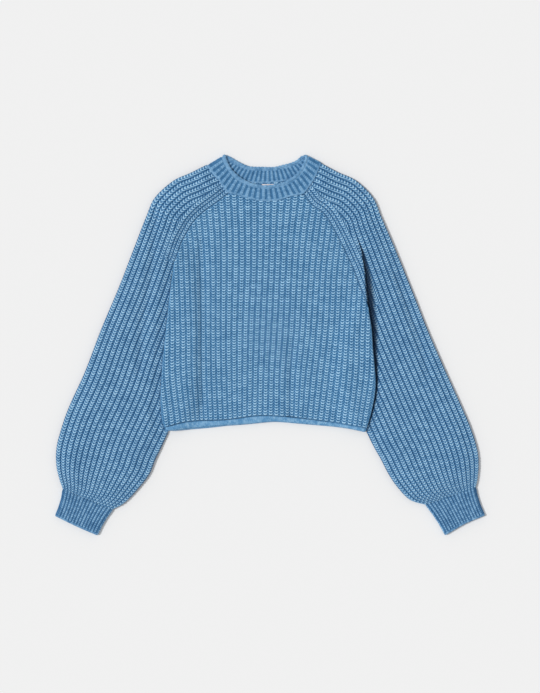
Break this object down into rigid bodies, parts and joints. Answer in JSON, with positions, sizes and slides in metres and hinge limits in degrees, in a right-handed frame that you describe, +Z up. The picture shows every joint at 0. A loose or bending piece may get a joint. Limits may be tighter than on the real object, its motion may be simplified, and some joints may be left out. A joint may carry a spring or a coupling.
{
  "type": "cropped knit sweater laid flat",
  "caption": "Cropped chunky ribbed crew-neck sweater with balloon raglan sleeves, laid flat face up with the arms slanting down and out.",
  "frame": {"origin": "the surface it lies on, under the middle of the laid-out sweater", "axes": "+Z up out of the surface, +Y towards the collar, +X towards the wearer's left sleeve"},
  "size_m": [0.7724, 0.684, 0.0168],
  "materials": {
    "knit": "chunky ribbed knit, soft matte yarn",
    "collar_rib": "fine ribbed knit, matte",
    "cuff_rib": "fine ribbed knit, matte",
    "hem_roll": "plain rolled knit, matte",
    "label": "smooth woven tape"
  },
  "bodies": {
    "root": {"front": "knit", "back": "knit", "sleeve_right": "knit", "sleeve_left": "knit", "collar": "collar_rib", "cuff_right": "cuff_rib", "cuff_left": "cuff_rib", "hem": "hem_roll", "neck_label": "label"}
  },
  "joints": []
}
